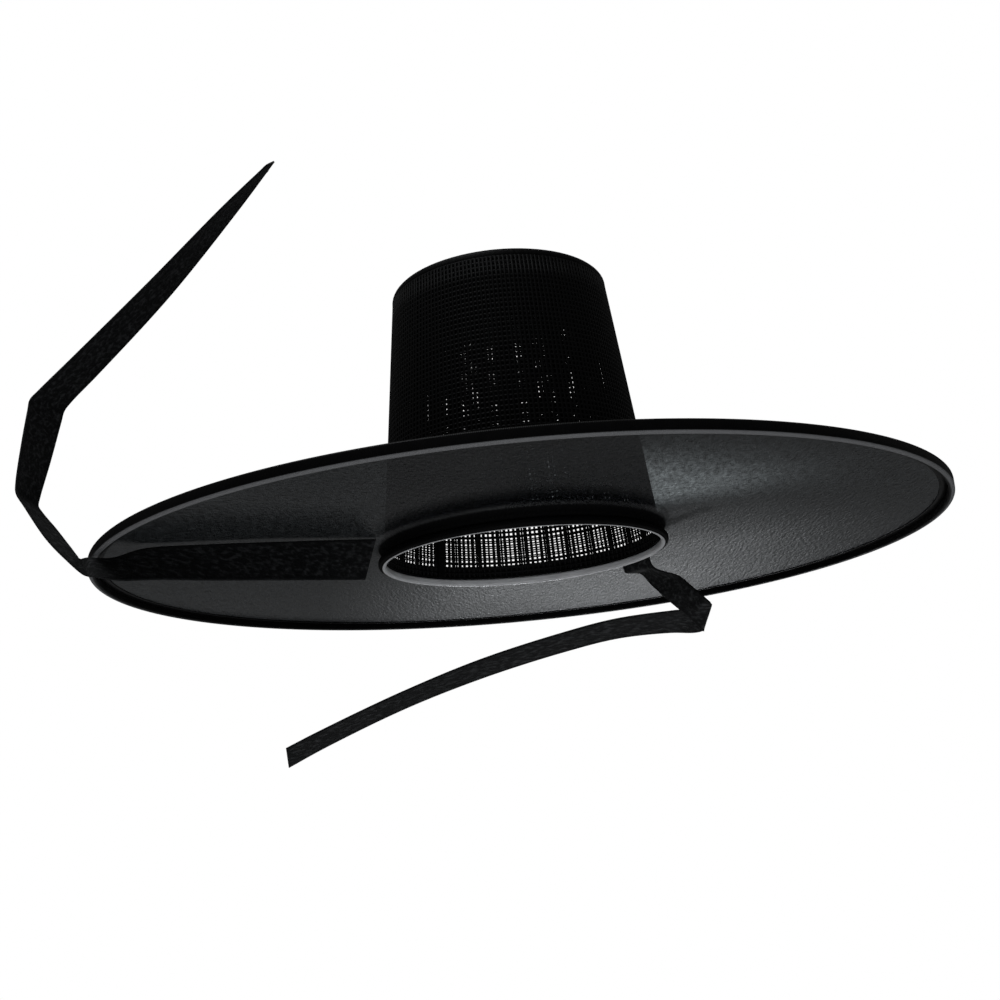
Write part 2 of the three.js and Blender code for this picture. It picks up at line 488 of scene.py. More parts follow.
@dataclass(frozen=True)
class Horsehair:
    """Black horsehair: round hairs laid side by side, with a dull shine."""

    name: str = "horsehair"
    dark: Rgb = (0.0008, 0.0008, 0.0009)
    light: Rgb = (0.0032, 0.0032, 0.0035)
    gloss: Gloss = Gloss(0.5, 0.1)
    hair_scale: float = 1400.0
    hair_stretch: Rgb = (1, 1, 0.35)
    relief: float = 0.1 * MM

    def height(self, g: Graph) -> Socket:
        """The hairs' relief, 0 to 1."""
        return g.noise(self.hair_scale, 2, self.hair_stretch)

    def make(self) -> Material:
        """Builds the material.

        Returns:
            The material.
        """
        g = Graph(bpy.data.materials.new(self.name))
        height = self.height(g)
        return g.finish(surface(g, g.colour(height, self.dark, self.light), self.gloss,
                                g.bump(height, self.relief)))


@dataclass(frozen=True)
class DenseHorsehair(Horsehair):
    """The crown's closed top: the same hair woven tight in a fine square weave."""

    name: str = "dense_horsehair"
    hair_stretch: Rgb = (1, 1, 1)
    relief: float = 0.2 * MM
    pitch: float = 1.6 * MM
    hair_share: float = 0.4

    def height(self, g: Graph) -> Socket:
        """The hairs' relief in a square weave, 0 to 1."""
        weave = g.times(*(g.maths("SINE", g.times(v, math.pi / self.pitch)) for v in (g.x, g.y)))
        return g.line(super().height(g), self.hair_share,
                      g.times(g.line(weave, 0.5, 0.5), 1 - self.hair_share))


@dataclass(frozen=True)
class BoundEdge:
    """Black thread wound tightly round the brim's edge, with a painted highlight: a light grey line
    along its outer lower lip.
    """

    name: str = "black_lacquer"
    dark: Rgb = (0.0008, 0.0008, 0.0009)
    light: Rgb = (0.003, 0.003, 0.0033)
    # Painted highlight: the light grey of the outer lower lip stands in for the light it catches.
    painted_lip_highlight: Rgb = (0.19, 0.19, 0.195)
    gloss: Gloss = Gloss(0.34, 0.15)
    relief: float = 0.12 * MM
    turns: int = 1900
    wear_scale: float = 180.0
    wear_share: float = 0.5
    lip_top: float = -0.6 * MM
    lip_inside: float = 247.6 * MM
    lip_fade: Span = (0.5 * MM, 0.6 * MM)

    def make(self) -> Material:
        """Builds the material.

        Returns:
            The material.
        """
        g = Graph(bpy.data.materials.new(self.name))
        thread = g.line(g.maths("SINE", g.times(g.turn(), self.turns)), 0.5, 0.5)
        wear = g.noise(self.wear_scale, 3)
        height = g.line(wear, self.wear_share, g.times(thread, 1 - self.wear_share))
        # Painted highlight: the outer lower lip, below lip_top and outside lip_inside, is coloured
        # light grey.
        down, out = self.lip_fade
        lip = g.times(g.fall(g.z, self.lip_top - down, self.lip_top),
                      g.rise(g.radius(), self.lip_inside, self.lip_inside + out))
        colour = g.mix(lip, g.colour(height, self.dark, self.light), self.painted_lip_highlight)
        return g.finish(surface(g, colour, self.gloss, g.bump(height, self.relief), wear))


@dataclass(frozen=True)
class PaleHoop:
    """A smooth grey hoop of split bamboo, black on its outer side."""

    name: str = "pale_hoop"
    dark: Rgb = (0.5, 0.5, 0.51)
    light: Rgb = (0.82, 0.82, 0.83)
    black: Rgb = (0.002, 0.002, 0.0022)
    gloss: Gloss = Gloss(0.3, 0.6, swing=0.25)
    matte: Gloss = Gloss(0.6, 0.06)
    relief: float = 0.08 * MM
    line_scale: float = 9000.0
    line_share: float = 0.15
    wander_scale: float = 70.0
    wander_depth: float = 9.0
    patch_scale: float = 45.0
    pale_until: float = 85.7 * MM
    pale_blur: float = 0.2 * MM

    def make(self) -> Material:
        """Builds the material.

        Returns:
            The material.
        """
        g = Graph(bpy.data.materials.new(self.name))
        radius = g.radius()
        wander = g.times(g.noise(self.wander_scale), self.wander_depth)
        lines = g.maths("SINE", g.line(radius, self.line_scale, wander))
        patch = g.noise(self.patch_scale, 3)
        height = g.line(lines, self.line_share, patch)
        bump = g.bump(height, self.relief)
        outer = g.rise(radius, self.pale_until - self.pale_blur, self.pale_until + self.pale_blur)
        pale = surface(g, g.colour(height, self.dark, self.light), self.gloss, bump, patch)
        return g.finish(g.blend(outer, pale, surface(g, self.black, self.matte, bump)))


@dataclass(frozen=True)
class Crepe:
    """Matte black crepe, crinkled across its length, with painted highlights on its crinkles'
    crests that are weaker along its hems, which are darker.
    """

    name: str = "crepe_ribbon"
    dark: Rgb = (0.008, 0.0083, 0.0087)
    light: Rgb = (0.05, 0.0515, 0.0535)
    gloss: Gloss = Gloss(0.75, 0.1, sheen=0.03)
    relief: float = 0.9 * MM
    crinkle_scale: float = 420.0
    crinkle_stretch: Rgb = (0.45, 1, 1.2)
    # Painted highlight: crinkle values across this range turn the crepe towards its light colour.
    painted_highlight_range: Span = (0.44, 0.74)
    thread_scale: float = 2600.0
    thread_share: float = 0.2
    hem_shade: float = 0.25

    def make(self) -> Material:
        """Builds the material, which reads the hems from the mesh's attribute.

        Returns:
            The material.
        """
        g = Graph(bpy.data.materials.new(self.name))
        crinkle = g.noise(self.crinkle_scale, 4, self.crinkle_stretch)
        thread = g.noise(self.thread_scale, 1)
        height = g.line(thread, self.thread_share, g.times(crinkle, 1 - self.thread_share))
        hem = g.node("ShaderNodeAttribute", attribute_name=HEM).outputs["Fac"]
        # Painted highlight: the crinkles' crests are coloured lighter, less so along the hems.
        painted_crest_highlights = g.times(g.rise(crinkle, *self.painted_highlight_range), g.line(hem, self.hem_shade - 1, 1))
        return g.finish(surface(g, g.colour(painted_crest_highlights, self.dark, self.light), self.gloss,
                                g.bump(height, self.relief)))


@dataclass(frozen=True)
class PaleFloor:
    """The studio's plain pale floor."""

    name: str = "pale_floor"
    dark: Rgb = (0.86, 0.86, 0.86)
    light: Rgb = (0.92, 0.92, 0.92)
    gloss: Gloss = Gloss(0.9, 0.1)
    relief: float = 0.5 * MM
    mottle_scale: float = 6.0

    def make(self) -> Material:
        """Builds the material.

        Returns:
            The material.
        """
        g = Graph(bpy.data.materials.new(self.name))
        mottle = g.noise(self.mottle_scale, 3)
        return g.finish(surface(g, g.colour(mottle, self.dark, self.light), self.gloss,
                                g.bump(mottle, self.relief)))


class Finish(Enum):
    """The record's material slots."""

    HORSEHAIR = "horsehair"
    WOVEN_BRIM = "woven_brim"
    BLACK_LACQUER = "black_lacquer"
    PALE_HOOP = "pale_hoop"
    CREPE = "crepe_ribbon"


def dress(piece: Piece, material: Material,
          stands_for: Sequence[str] = ()) -> None:
    """Gives a piece its material, its body and the CAD nodes it stands for.

    Args:
        piece: the piece.
        material: its material.
        stands_for: CAD nodes that it replaces.
    """
    piece.data.materials.clear()
    piece.data.materials.append(material)
    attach(piece, BODY)
    if stands_for:
        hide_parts(*stands_for)
    log.info("%s: %d faces", piece.name, len(piece.data.polygons))


# Sub-assemblies


@dataclass
class HeadRing:
    """The pale round hoop that edges the head opening, with a bead along its inner edge."""

    outer: float = 88 * MM
    width: float = 4.7 * MM
    height: float = 4 * MM
    round_: float = 1.5 * MM
    bead: float = 1.7 * MM
    bead_drop: float = 0.7 * MM
    bead_end: float = -20
    bead_steps: int = 12
    segments: int = 256

    @property
    def inner(self) -> float:
        """Its inner radius."""
        return self.outer - self.width

    def build(self) -> None:
        """Builds and dresses the ring."""
        bead = arc(self.inner + self.bead, self.bead - self.bead_drop, self.bead, -180,
                   self.bead_end, self.bead_steps)
        band = rounded_band(self.inner, self.outer, 0, self.height, self.round_)
        ring = turned("head_hoop", bead + band[:-(ROUND_STEPS + 1)], self.segments)
        dress(ring, PaleHoop().make(), ["head_ring"])


class Strands:
    """Collects strands of four-cornered section into one mesh."""

    def __init__(self) -> None:
        """Starts with no strand."""
        self.points: list[Array] = []
        self.faces: list[Array] = []
        self.count = 0

    def add(self, edges: list[Array], closed: bool) -> None:
        """Adds a strand.

        Args:
            edges: its four long edges, each with a point a row.
            closed: whether its end joins its start.
        """
        block = np.stack(edges, axis=1)
        rows = len(block)
        self.points.append(block.reshape(-1, 3))
        self.faces.append(grid_faces(rows, 4, closed, True) + self.count)
        if not closed:
            last = 4 * (rows - 1)
            ends = np.array([[0, 3, 2, 1], [last, last + 1, last + 2, last + 3]])
            self.faces.append(ends + self.count)
        self.count += 4 * rows

    def build(self, name: str) -> Piece:
        """Makes one object of all its strands."""
        return new_object(name, np.concatenate(self.points), np.concatenate(self.faces))


@dataclass(frozen=True)
class WeaveLayer:
    """One crossed layer of the crown's weave, whose middle lies inside the wall's outer face."""

    name: str
    uprights: int
    hoop_pitch: float
    inset: float
    seed: int


@dataclass
class Crown:
    """The tapered crown: an open weave of two crossed layers, a seam and a closed top.

    The hair bundles are narrower up to `open_until`, so the weave is more open at the foot. The
    sway, stray and bend are the unevenness of handwork.
    """

    ring: HeadRing
    outer: WeaveLayer = WeaveLayer("crown_outer_weave", 176, 3.0 * MM, 0.2 * MM, seed=11)
    inner: WeaveLayer = WeaveLayer("crown_inner_weave", 142, 3.26 * MM, 0.95 * MM, seed=12)
    top_radius: float = 67.5 * MM
    height: float = 171.5 * MM
    shoulder: float = 4 * MM
    wall: float = 1.2 * MM
    gap: float = 0.3 * MM
    hair_width: float = 1.42 * MM
    hair_thickness: float = 0.35 * MM
    open_width: float = 1.4 * MM
    open_hoop: float = 0.92 * MM
    open_until: float = 42 * MM
    open_fade: float = 12 * MM
    hoop_sway: float = 0.09 * MM
    sway_waves: int = 3
    slowest_sway: int = 2
    upright_stray: float = 0.06 * MM
    upright_bend: float = 0.1 * MM
    bend_phase: float = 6.0
    hoop_segments: int = 96
    upright_steps: int = 12

    @property
    def base_radius(self) -> float:
        """Outer radius of the wall at its foot."""
        return self.ring.inner + self.wall

    @property
    def foot(self) -> float:
        """Height of the wall's foot."""
        return self.ring.height + self.gap

    @property
    def head(self) -> float:
        """Height of the wall's upper edge."""
        return self.height - self.shoulder - self.wall

    def radius_at(self, z: Array) -> Array:
        """Outer radius of the wall at a height."""
        share = (z - self.foot) / (self.head - self.foot)
        return self.base_radius + share * (self.top_radius - self.base_radius)

    def width_at(self, z: Array | float, narrow: float) -> Array | float:
        """Width of a hair bundle at a height, from the narrow one at the foot."""
        share = smoothstep(self.open_until, self.open_until + self.open_fade, z)
        return narrow + share * (self.hair_width - narrow)

    def add_hoops(self, layer: WeaveLayer, rng: np.random.Generator, strands: Strands) -> None:
        """Adds a layer's hoops, which sway a little up and down.

        Args:
            layer: the layer.
            rng: the source of its unevenness.
            strands: the mesh that gets them.
        """
        foot, head = self.foot + self.open_hoop / 2, self.head - self.hair_width / 2
        turn = angles(self.hoop_segments)
        count = int((head - foot) / layer.hoop_pitch)
        for k in range(count + 1):
            level = foot + k * (head - foot) / count
            waves = rng.normal(0, self.hoop_sway, self.sway_waves)
            phases = rng.uniform(0, 2 * math.pi, self.sway_waves)
            sway = sum(w * np.sin(n * turn + p)
                       for n, (w, p) in enumerate(zip(waves, phases), self.slowest_sway))
            z = level + (sway if 0 < k < count else 0 * sway)
            half = self.width_at(level, self.open_hoop) / 2
            edges = []
            for up, out in CORNERS:
                r = self.radius_at(z + up * half) - layer.inset + out * self.hair_thickness / 2
                edges.append(about_axis(r, turn, z + up * half))
            strands.add(edges, True)

    def add_uprights(self, layer: WeaveLayer, rng: np.random.Generator,
                     strands: Strands) -> None:
        """Adds the bundles that run up a layer, each a little off its place and bent.

        Args:
            layer: the layer.
            rng: the source of its unevenness.
            strands: the mesh that gets them.
        """
        z = np.linspace(self.foot, self.head, self.upright_steps + 1)
        r = self.radius_at(z) - layer.inset
        half = self.width_at(z, self.open_width) / 2
        for k in range(layer.uprights):
            stray = rng.normal(0, self.upright_stray) / self.base_radius
            bend = rng.normal(0, self.upright_bend) / self.base_radius
            phase = rng.uniform(0, self.bend_phase)
            turn = 2 * math.pi * k / layer.uprights + stray
            turn = turn + bend * np.sin(np.linspace(0, math.pi * 2, len(z)) + phase)
            out = about_axis(1, turn, 0 * turn) * self.hair_thickness / 2
            side = np.stack([-np.sin(turn), np.cos(turn), 0 * turn], axis=-1) * half[:, None]
            strands.add([about_axis(r, turn, z) + side * a + out * b for a, b in CORNERS], False)

    def layer(self, layer: WeaveLayer) -> Piece:
        """Builds one crossed layer of flat hair bundles.

        Args:
            layer: the layer.

        Returns:
            The new object.
        """
        rng = np.random.default_rng(layer.seed)
        strands = Strands()
        self.add_hoops(layer, rng, strands)
        self.add_uprights(layer, rng, strands)
        return strands.build(layer.name)

    def build(self) -> None:
        """Builds and dresses both layers, and dresses the CAD's top and seam."""
        hair = Horsehair().make()
        dress(self.layer(self.outer), hair, ["crown_wall"])
        dress(self.layer(self.inner), hair)
        for node, material in (("crown_top", DenseHorsehair().make()), ("crown_seam", hair)):
            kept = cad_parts[node]
            kept.data.materials.clear()
            kept.data.materials.append(material)


@dataclass(frozen=True)
class Wave:
    """One wave of the brim's unevenness round the axis: its height, waves, phase and slant."""

    height: float
    count: int
    phase: float
    slant: float = 0.0


@dataclass
class Brim:
    """The wide drooping brim with its collar, the deep binding round its edge and its fold."""

    crown: Crown
    radius: float = 250 * MM
    thickness: float = 1.2 * MM
    rise: float = 13 * MM
    edge_height: float = 2.8 * MM
    bow: float = 0.8 * MM
    fillet: float = 6 * MM
    fillet_steps: int = 10
    waves: tuple[Wave, ...] = (Wave(0.35, 3, 0.7), Wave(0.25, 5, 2.1), Wave(0.12, 9, 4.0, 5))
    rim_width: float = 3.6 * MM
    rim_height: float = 6.5 * MM
    rim_drop: float = 2 * MM
    rim_round: float = 1.2 * MM
    fold_width: float = 4.2 * MM
    fold_thickness: float = 0.7 * MM
    fold_steps: int = 8
    fold_tuck: float = 0.2 * MM
    fold_clear: float = 0.02 * MM
    segments: int = 288
    spokes: int = 40

    @property
    def collar_inner(self) -> float:
        """Inner radius of the collar."""
        return self.crown.base_radius + self.crown.gap

    @property
    def fillet_radius(self) -> float:
        """Radius from the axis at which the collar's fillet meets the disc."""
        return self.collar_inner + self.thickness + self.fillet

    @property
    def outer(self) -> float:
        """The disc's outer radius, inside the binding."""
        return self.radius - self.rim_width - self.crown.gap

    def across(self, r: Array | float) -> Array | float:
        """How far a radius lies from the fillet, at 0, to the disc's edge, at 1."""
        return (r - self.fillet_radius) / (self.outer - self.fillet_radius)

    def underside(self, r: Array | float) -> Array | float:
        """Height of the disc's underside at a radius."""
        share = self.across(r)
        droop = share * (self.edge_height - self.rise)
        return self.rise + droop + 4 * self.bow * share * (1 - share)

    def unevenness(self, r: Array, turn: Array) -> Array:
        """Gives the slight waves of a hand-made brim.

        Args:
            r: radii in metres.
            turn: angles in radians.

        Returns:
            Heights to add, nothing at the collar and little at the rim.
        """
        share = np.clip(self.across(r), 0, 1)
        total = sum(w.height * np.sin(w.count * turn + w.phase + w.slant * share)
                    for w in self.waves)
        return MM * np.sin(math.pi * share) * total

    def disc(self) -> Piece:
        """Builds the disc with its collar.

        Returns:
            The disc.
        """
        centre = self.fillet_radius, self.rise - self.fillet
        r = np.linspace(self.fillet_radius, self.outer, self.spokes + 1)[1:]
        under = self.underside(r)
        foot = self.crown.foot
        profile = [
            (self.collar_inner + self.thickness, foot),
            *arc(*centre, self.fillet, 180, 90, self.fillet_steps),
            *zip(r.tolist(), under.tolist()),
            *reversed(list(zip(r.tolist(), (under + self.thickness).tolist()))),
            *arc(*centre, self.fillet + self.thickness, 90, 180, self.fillet_steps),
            (self.collar_inner, foot),
        ]
        return turned("brim_weave", profile, self.segments, self.unevenness)

    def fold(self) -> Piece:
        """Builds the binding's inner edge, folded flat over the brim's underside.

        Returns:
            The fold.
        """
        inner = self.radius - self.rim_width - self.fold_width
        outer = self.radius - self.rim_width + self.fold_tuck
        round_ = self.fold_thickness / 2
        near, far = (float(self.underside(r)) - self.fold_clear for r in (inner, outer))
        profile = [
            (outer, far),
            *arc(inner + round_, near - round_, round_, 90, 270, self.fold_steps),
            (outer, far - self.fold_thickness),
        ]
        return turned("binding_fold", profile, self.segments)

    def build(self) -> None:
        """Builds and dresses the disc, the binding and its fold."""
        dress(self.disc(), WovenBrim().make(), ["brim"])
        edge = BoundEdge().make()
        band = rounded_band(self.radius - self.rim_width, self.radius, -self.rim_drop,
                            self.rim_height - self.rim_drop, self.rim_round)
        rim = turned("brim_binding", band, self.segments)
        dress(rim, edge, ["brim_rim"])
        dress(self.fold(), edge)


def smooth_edge(points: Array, steps: int) -> Array:
    """Runs a smooth centripetal curve through points.

    Args:
        points: the points, one row each.
        steps: steps from each point to the next.

    Returns:
        The points of the curve, both ends included.
    """
    shortest = 1e-6
    ends = np.vstack([2 * points[0] - points[1], points, 2 * points[-1] - points[-2]])
    out = []
    for i in range(1, len(ends) - 2):
        p = ends[i - 1:i + 3]
        d = np.maximum(np.linalg.norm(np.diff(p, axis=0), axis=1) ** 0.5, shortest)
        t1 = (p[1] - p[0]) / d[0] - (p[2] - p[0]) / (d[0] + d[1]) + (p[2] - p[1]) / d[1]
        t2 = (p[2] - p[1]) / d[1] - (p[3] - p[1]) / (d[1] + d[2]) + (p[3] - p[2]) / d[2]
        t1, t2 = t1 * d[1], t2 * d[1]
        c2 = -3 * p[1] + 3 * p[2] - 2 * t1 - t2
        c3 = 2 * p[1] - 2 * p[2] + t1 + t2
        for k in range(steps):
            t = k / steps
            out.append(p[1] + t1 * t + c2 * t * t + c3 * t ** 3)
    out.append(points[-1])
    return np.array(out)


def two_sided_faces(rows: int, columns: int) -> Array:
    """Lists the quads of two equal grids of vertices, joined along their edges.

    Args:
        rows: rows of vertices of each grid.
        columns: columns of vertices of each grid.

    Returns:
        One row of four vertex numbers for each quad.
    """
    top = grid_faces(rows, columns, False, False)
    offset = rows * columns
    i, j = np.arange(rows - 1), np.arange(columns - 1)
    left = np.stack([i * columns, (i + 1) * columns, (i + 1) * columns + offset,
                     i * columns + offset], axis=1)
    first = np.stack([j, j + offset, j + 1 + offset, j + 1], axis=1)
    return np.concatenate([top, top[:, ::-1] + offset, left, left[:, ::-1] + (columns - 1),
                           first, first[:, ::-1] + (rows - 1) * columns])


@dataclass
class Tie:
    """A crepe ribbon that follows a route of lines across it.

    Its cloth is doubled along the hems and at the free end's cuff, and it crinkles except near
    its edges and ends.
    """

    name: str
    node: str
    lines: Array
    seed: int
    width: float = 26 * MM
    steps: int = 16
    strips: int = 18
    crowding: float = 0.35
    half_thickness: float = 0.34 * MM
    doubling: float = 0.16 * MM
    hem: float = 2.2 * MM
    hem_step: float = 0.8
    hem_fade: Span = (0.75, 1.1)
    cuff: float = 13 * MM
    cuff_step: float = 0.96
    crinkle: float = 0.28 * MM
    crinkles: int = 14
    waves_per_mm: Span = (0.35, 1.5)
    wave_pace: float = 0.6
    wave_slant: float = 5.0
    wave_phase: float = 6.28
    calm_edge: float = 2.5 * MM
    calm_end: float = 4 * MM
    calm_start: float = 5 * MM

    def ripple(self, run: Array, across: Array) -> Array:
        """Adds up low waves at random slants.

        Args:
            run: distance along the ribbon at each vertex.
            across: place across the ribbon, 0 to 1.

        Returns:
            The height of the crinkles, about -1 to 1.
        """
        rng = np.random.default_rng(self.seed)
        total = np.zeros_like(run)
        for _ in range(self.crinkles):
            along = rng.uniform(*self.waves_per_mm) / MM * self.wave_pace
            slant = rng.uniform(-self.wave_slant, self.wave_slant)
            phase = rng.uniform(0, self.wave_phase)
            total += np.sin(along * run + slant * across + phase) / self.crinkles ** 0.5
        return total

    def doubled(self, width: float, step: float, distance: Array) -> Array:
        """Half the thickness at a distance from an edge with cloth turned in for this width."""
        return self.half_thickness + self.doubling * (1 - smoothstep(step * width, width, distance))

    def build(self) -> None:
        """Builds and dresses the ribbon as a thin closed strip with hems."""
        a, b = (smooth_edge(self.lines[:, side], self.steps) for side in (0, 1))
        middle = (a + b) / 2
        normal = np.cross(np.gradient(middle, axis=0), b - a)
        normal /= np.linalg.norm(normal, axis=1)[:, None]
        run = np.concatenate([[0], np.cumsum(np.linalg.norm(np.diff(middle, axis=0), axis=1))])
        w = np.linspace(0, 1, self.strips + 1)
        w = w - self.crowding * np.sin(2 * math.pi * w) / (2 * math.pi)
        s, v = np.meshgrid(run, w, indexing="ij")
        edge, end = np.minimum(v, 1 - v) * self.width, run[-1] - s
        ripple = self.ripple(s, v) * self.crinkle
        for reach, distance in ((self.calm_edge, edge), (self.calm_end, end),
                                (self.calm_start, s)):
            ripple *= smoothstep(0, reach, distance)
        half = np.maximum(self.doubled(self.hem, self.hem_step, edge),
                          self.doubled(self.cuff, self.cuff_step, end))
        face = a[:, None] + (b - a)[:, None] * v[..., None]
        sides = [face + normal[:, None] * (ripple + way * half)[..., None] for way in (1, -1)]
        points = np.concatenate([side.reshape(-1, 3) for side in sides])
        strip = new_object(self.name, points, two_sided_faces(len(run), len(w)))
        low, high = (share * self.hem for share in self.hem_fade)
        hem = 1 - smoothstep(low, high, np.minimum(edge, end))
        shade = strip.data.attributes.new(HEM, "FLOAT", "POINT")
        shade.data.foreach_set("value", np.tile(hem.ravel(), 2))
        dress(strip, Crepe().make(), [self.node])


class Against(Enum):
    """What a line of a tie lies under or beside."""

    BRIM = "brim"
    RIM = "rim"
    COLLAR = "collar"
    RING = "ring"


@dataclass(frozen=True)
class HungLine:
    """A line across the left tie, so far along its way out, below the brim or the rim.

    It sags by ribbon thicknesses, leans to the near side and slants outwards by degrees.
    """

    out: float
    below: Against
    sag: float
    lean: float
    cut: float


@dataclass(frozen=True)
class SewnLine:
    """A line across the right tie's sewn end: ring heights up, and ribbon thicknesses off."""

    rise: float
    beside: Against
    off: float


@dataclass(frozen=True)
class FreeLine:
    """A line across a free stretch: where, its middle in brim radii, and its direction."""

    where: str
    middle: Point
    across: Point


@dataclass
class Ties:
    """The two ties' routes, as in the part's source, and their ribbons.

    The turns are angles in degrees: those of the left tie's way from collar to rim, and that of
    the right tie's sewn end.
    """

    brim: Brim
    width: float = 26 * MM
    thickness: float = 1 * MM
    left_seed: int = 3
    right_seed: int = 8
    left_turns: Span = (203, 209)
    left_hung: tuple[HungLine, ...] = (
        HungLine(0.0, Against.BRIM, 0, 2, 20),
        HungLine(0.2, Against.BRIM, 0.4, 16, 14),
        HungLine(0.42, Against.BRIM, 0.6, 25, 8),
        HungLine(0.64, Against.BRIM, 0.7, 32, 3),
        HungLine(0.84, Against.BRIM, 1.4, 41, 0),
        HungLine(0.945, Against.RIM, 0.2, 53, 0),
        HungLine(1.015, Against.RIM, 0.3, 56, 0),
    )
    left_free: tuple[FreeLine, ...] = tuple(FreeLine(*row) for row in (
        ("past the rim", (-0.908, -0.464, -0.021), (0.39, -0.75, -0.54)),
        ("turned up", (-0.94, -0.448, 0.012), (0.26, -0.85, -0.47)),
        ("edge on", (-0.984, -0.424, 0.063), (0.15, -0.9, -0.4)),
        ("before low fold", (-1.032, -0.396, 0.127), (0.06, -0.99, -0.13)),
        ("low fold", (-1.05, -0.384, 0.155), (-0.03, -1, 0.03)),
        ("after low fold", (-1.05, -0.38, 0.175), (-0.07, -1, 0.05)),
        ("between folds", (-1.036, -0.368, 0.26), (-0.21, -0.98, 0.04)),
        ("before high fold", (-1.022, -0.352, 0.35), (-0.32, -0.95, -0.01)),
        ("high fold", (-1.017, -0.348, 0.376), (-0.35, -0.94, -0.03)),
        ("after high fold", (-1.001, -0.344, 0.397), (-0.31, -0.95, -0.04)),
        ("tail begins", (-0.931, -0.34, 0.465), (-0.16, -0.99, 0.04)),
        ("tail, first third", (-0.763, -0.336, 0.63), (-0.14, -0.99, -0.09)),
        ("tail, second third", (-0.594, -0.336, 0.809), (-0.08, -0.93, -0.35)),
        ("tail end", (-0.494, -0.336, 0.915), (0, -0.83, -0.55)),
    ))
    right_turn: float = 36
    right_sewn: tuple[SewnLine, ...] = (
        SewnLine(1.9, Against.COLLAR, 0),
        SewnLine(1.4, Against.COLLAR, 0.5),
        SewnLine(0.9, Against.RING, 0.1),
        SewnLine(-0.3, Against.RING, 0.6),
        SewnLine(-0.9, Against.RING, 1.6),
    )
    right_free: tuple[FreeLine, ...] = tuple(FreeLine(*row) for row in (
        ("first stretch", (0.316, 0.208, -0.025), (0.31, -0.94, -0.1)),
        ("widest", (0.356, 0.192, -0.057), (0.6, -0.8, 0.02)),
        ("below widest", (0.383, 0.164, -0.095), (0.61, -0.79, 0.05)),
        ("before fold", (0.426, 0.14, -0.148), (0.32, -0.9, 0.29)),
        ("front of fold", (0.444, 0.154, -0.166), (0.18, -0.84, 0.52)),
        ("back of fold", (0.447, 0.192, -0.164), (0.13, -0.84, 0.52)),
        ("after fold", (0.421, 0.232, -0.162), (0.03, -0.88, 0.47)),
        ("tail begins", (0.365, 0.256, -0.156), (-0.01, -0.91, 0.41)),
        ("level stretch", (0.224, 0.28, -0.157), (-0.09, -0.93, 0.36)),
        ("starts down", (0.081, 0.3, -0.177), (-0.1, -0.93, 0.34)),
        ("middle", (-0.138, 0.332, -0.221), (-0.1, -0.94, 0.33)),
        ("hump", (-0.359, 0.368, -0.282), (-0.08, -0.95, 0.29)),
        ("last stretch", (-0.585, 0.408, -0.36), (0, -0.94, 0.34)),
        ("tail end", (-0.69, 0.428, -0.401), (0.14, -0.89, 0.44)),
    ))

    @property
    def clear(self) -> float:
        """How far a ribbon's middle keeps from what it lies against."""
        return self.brim.crown.gap + self.thickness / 2

    def on_circle(self, turn: float, radius: float, z: float = 0.0) -> Array:
        """A point on a circle about the axis, at an angle in degrees."""
        a = math.radians(turn)
        return np.array([radius * math.cos(a), radius * math.sin(a), z])

    def free_line(self, row: FreeLine) -> list[Array]:
        """Both ends of a line across a free stretch."""
        half = np.array(row.across) / np.linalg.norm(row.across) * self.width / 2
        return [np.array(row.middle) * self.brim.radius + way * half for way in (-1, 1)]

    def left_lines(self) -> Array:
        """Lists the lines across the left tie.

        Returns:
            Both ends of each line.
        """
        start = self.on_circle(self.left_turns[0], self.brim.fillet_radius)
        way = self.on_circle(self.left_turns[1], self.brim.radius) - start
        outwards = way / np.linalg.norm(way)
        near = np.array([-outwards[1], outwards[0], 0])
        lines = []
        for row in self.left_hung:
            upper = start + way * row.out
            roof = -self.brim.rim_drop
            if row.below is Against.BRIM:
                roof = self.brim.underside(float(np.hypot(upper[0], upper[1])))
            upper[2] = roof - self.clear - row.sag * self.thickness
            a, c = math.radians(row.lean), math.radians(row.cut)
            down = near * math.sin(a) - np.array([0, 0, math.cos(a)])
            across = down * math.cos(c) + outwards * math.sin(c)
            lines.append([upper, upper + across * self.width])
        return np.array(lines + [self.free_line(row) for row in self.left_free])

    def right_lines(self) -> Array:
        """Lists the lines across the right tie.

        Returns:
            Both ends of each line.
        """
        half = self.on_circle(self.right_turn - 90, self.width / 2)
        ring = self.brim.crown.ring
        lines = []
        for row in self.right_sewn:
            face = self.brim.collar_inner + self.brim.thickness
            if row.beside is Against.RING:
                face = ring.outer
            middle = self.on_circle(self.right_turn, face + self.clear + row.off * self.thickness,
                                    row.rise * ring.height)
            lines.append([middle - half, middle + half])
        return np.array(lines + [self.free_line(row) for row in self.right_free])

    def build(self) -> None:
        """Builds and dresses both ribbons."""
        Tie("left_tie", "ribbon_left", self.left_lines(), self.left_seed).build()
        Tie("right_tie", "ribbon_right", self.right_lines(), self.right_seed).build()


# Studio


@dataclass(frozen=True)
class Lamp:
    """A soft light: its place, what it aims at, its width, its power and a spot's cone."""

    name: str
    place: Point
    aim: Point
    width: float
    power: float
    cone: float | None = None
    blend: float = 0.6
    tint: Rgb = (0.94, 0.97, 1.0)

    def hang(self) -> None:
        """Adds the light to the scene: a disc, or a spot if it has a cone in degrees."""
        data = bpy.data.lights.new(self.name, "AREA" if self.cone is None else "SPOT")
        data.energy = self.power
        data.color = self.tint
        if self.cone is None:
            data.shape = "DISK"
            data.size = self.width
        else:
            data.shadow_soft_size = self.width / 2
            data.spot_size = math.radians(self.cone)
            data.spot_blend = self.blend
        lamp = bpy.data.objects.new(self.name, data)
        lamp.location = self.place
        way = Vector(self.aim) - Vector(self.place)
        lamp.rotation_euler = way.to_track_quat("-Z", "Y").to_euler()
        lamp.visible_camera = False
        bpy.context.scene.collection.objects.link(lamp)


